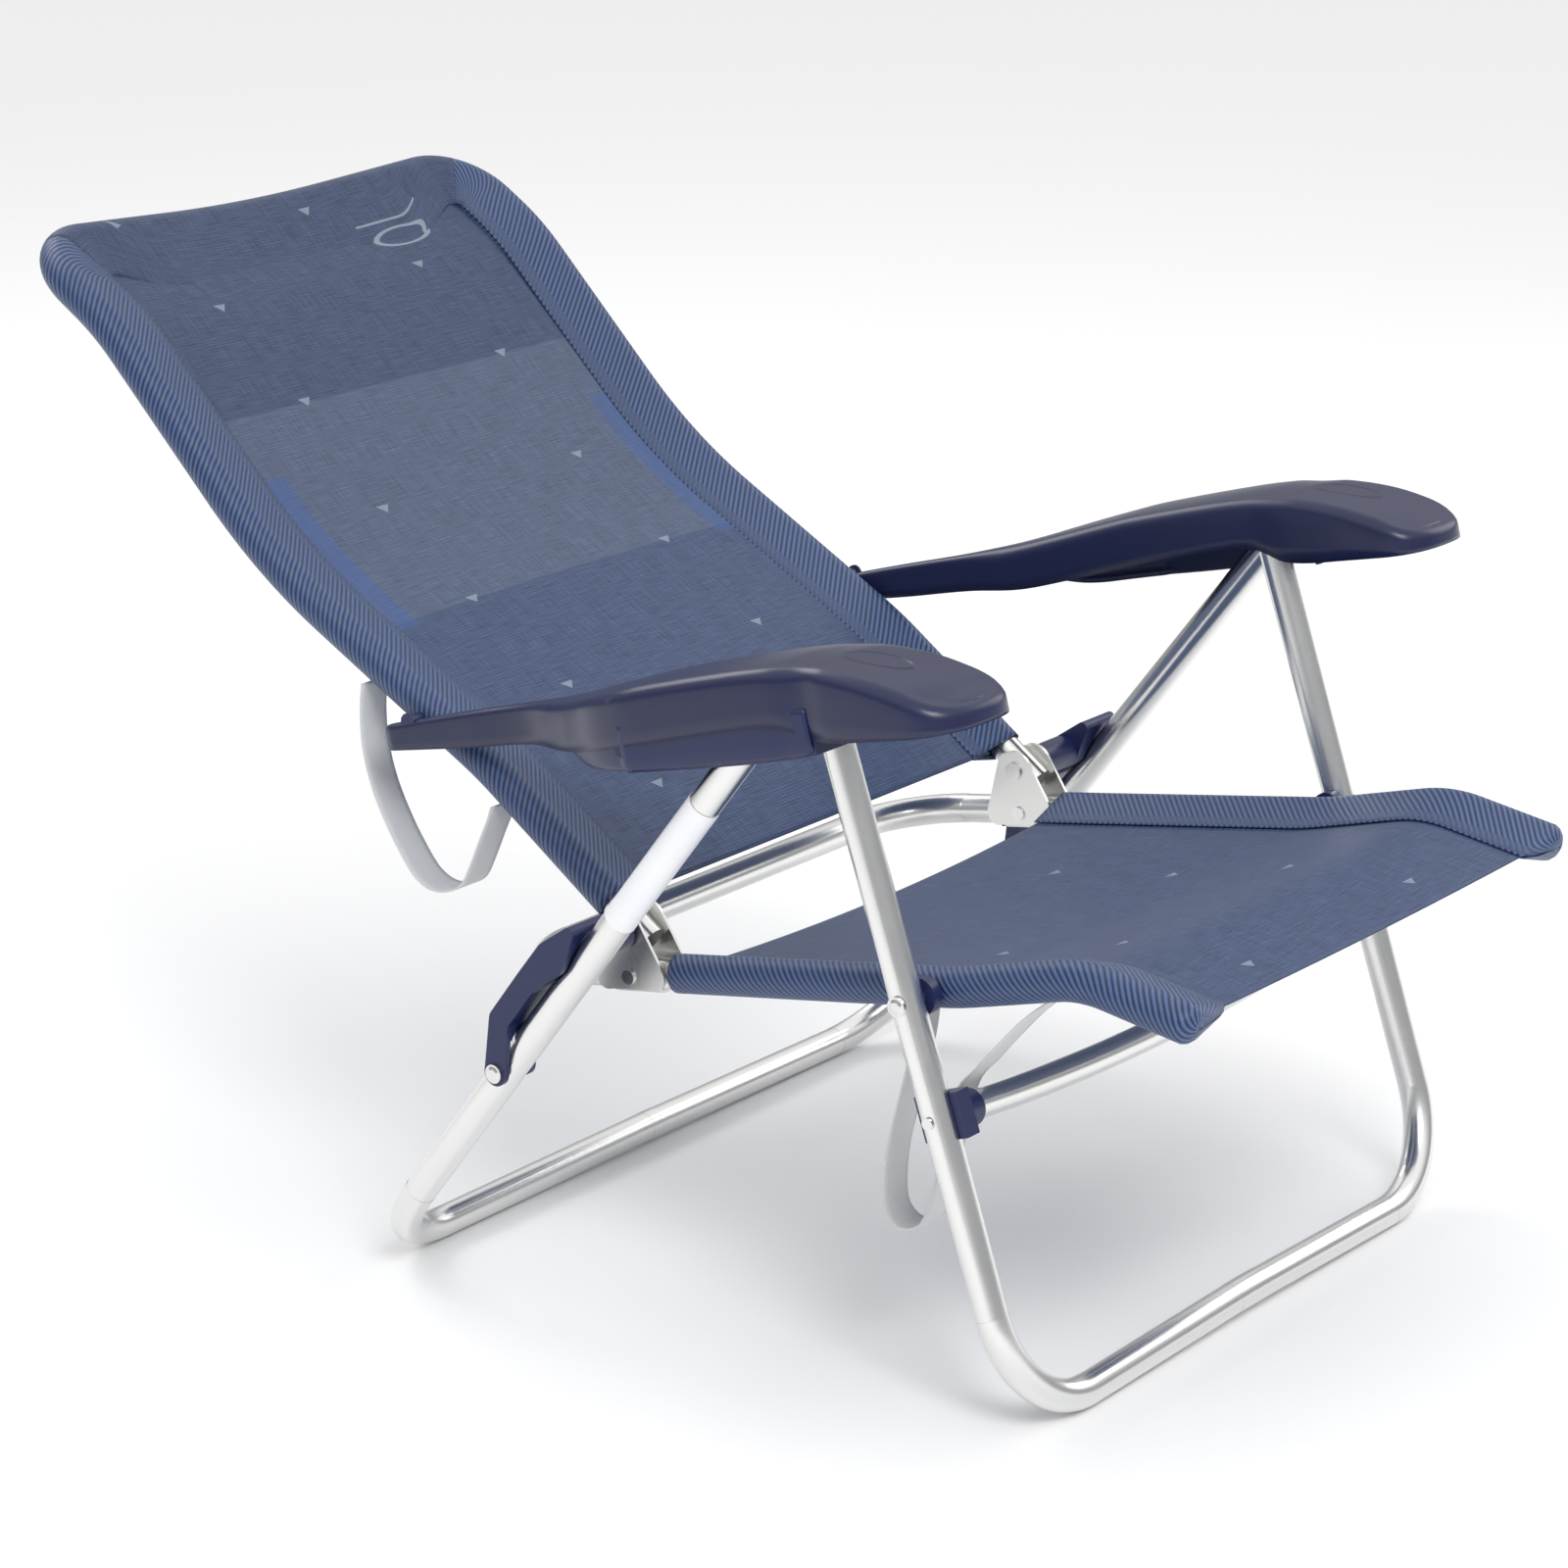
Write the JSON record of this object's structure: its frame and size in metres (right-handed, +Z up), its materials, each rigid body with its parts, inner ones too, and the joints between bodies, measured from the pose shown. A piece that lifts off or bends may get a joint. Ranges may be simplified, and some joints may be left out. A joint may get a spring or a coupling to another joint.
{
  "type": "folding beach chair",
  "caption": "Low folding beach armchair with aluminium tube leg loops, mesh sling seat and reclining back, moulded plastic armrests and side link levers.",
  "frame": {"origin": "on the floor plane, under the centre of the chair's bounding box", "axes": "+X across the chair to the sitter's left, +Y to the back, +Z up"},
  "size_m": [0.638, 0.991, 0.6627],
  "materials": {
    "tube": "bright, softly brushed anodised tube",
    "bracket": "bare pressed sheet",
    "rivet": "zinc-plated rivet",
    "navy_plastic": "satin moulded",
    "armrest": "satin moulded",
    "inlay": "smooth",
    "sling": "coated mesh weave",
    "webbing": "flat webbing",
    "label": "plain printed film"
  },
  "bodies": {
    "front_frame": {"front_legs": "tube", "front_cross_tube": "tube", "saddle_right": "navy_plastic", "saddle_left": "navy_plastic", "saddle_rivets": "rivet", "seat_spacers": "navy_plastic", "seat_pivots": "rivet", "front_leg_eyes": "tube", "top_pivots": "rivet", "top_washers": "navy_plastic"},
    "rear_frame": {"rear_legs": "tube", "rear_leg_eyes": "tube", "link_pivots": "rivet", "leg_label": "label"},
    "seat": {"seat_tube": "tube", "seat_sling": "sling", "seat_plugs": "navy_plastic", "bracket_right": "bracket", "bracket_left": "bracket", "bracket_rivets": "rivet", "seat_strap": "webbing"},
    "hinge_pins": {"hinge_rivets": "rivet"},
    "backrest": {"back_tube": "tube", "back_sling": "sling", "back_plugs": "rivet", "back_strap": "webbing"},
    "arm_pins": {"arm_rivets": "rivet"},
    "arm_right": {"armrest_right": "armrest", "rack_right": "navy_plastic", "armrest_inlay_right": "inlay"},
    "arm_left": {"armrest_left": "armrest", "rack_left": "navy_plastic", "armrest_inlay_left": "inlay"},
    "lever_right": {"link_right": "navy_plastic"},
    "lever_left": {"link_left": "navy_plastic"}
  },
  "joints": [
    {"name": "fold", "type": "hinge", "parent": "front_frame", "child": "rear_frame", "pos_m": [0, -0.2427, 0.468], "axis": [-1, 0, 0], "range_deg": [0, 52], "deforming": ["seat_strap", "back_strap"]},
    {"name": "seat_fold", "type": "hinge", "parent": "front_frame", "child": "seat", "pos_m": [0, -0.3107, 0.274], "axis": [-1, 0, 0], "range_deg": [0, 78.3]},
    {"name": "lever_right_fold", "type": "hinge", "parent": "rear_frame", "child": "lever_right", "pos_m": [0, -0.0157, 0.175], "axis": [-1, 0, 0], "range_deg": [0, 117.4]},
    {"name": "lever_left_fold", "type": "hinge", "parent": "rear_frame", "child": "lever_left", "pos_m": [0, -0.0157, 0.175], "axis": [-1, 0, 0], "range_deg": [0, 117.4]},
    {"name": "back_carry", "type": "hinge", "parent": "seat", "child": "hinge_pins", "pos_m": [0, -0.0637, 0.264], "axis": [-1, 0, 0], "range_deg": [-78.2, 0]},
    {"name": "recline", "type": "hinge", "parent": "hinge_pins", "child": "backrest", "pos_m": [0, -0.0637, 0.264], "axis": [1, 0, 0], "range_deg": [0, 39], "deforming": ["back_strap"]},
    {"name": "arm_carry", "type": "hinge", "parent": "backrest", "child": "arm_pins", "pos_m": [0, 0.1103, 0.378], "axis": [-1, 0, 0], "range_deg": [0, 80]},
    {"name": "arm_right_follow", "type": "hinge", "parent": "arm_pins", "child": "arm_right", "pos_m": [0, 0.1103, 0.378], "axis": [1, 0, 0], "range_deg": [-26.1, 0]},
    {"name": "arm_left_follow", "type": "hinge", "parent": "arm_pins", "child": "arm_left", "pos_m": [0, 0.1103, 0.378], "axis": [1, 0, 0], "range_deg": [-26.1, 0]}
  ],
  "couplings": [
    {"joint": "seat_fold", "follows": "fold", "ratio": 1.5049},
    {"joint": "lever_right_fold", "follows": "fold", "ratio": 2.2567},
    {"joint": "lever_left_fold", "follows": "fold", "ratio": 2.2567},
    {"joint": "back_carry", "follows": "fold", "ratio": -1.5037},
    {"joint": "arm_carry", "follows": "fold", "ratio": 1.5377},
    {"joint": "arm_right_follow", "follows": "recline", "ratio": -0.669},
    {"joint": "arm_left_follow", "follows": "recline", "ratio": -0.669}
  ]
}
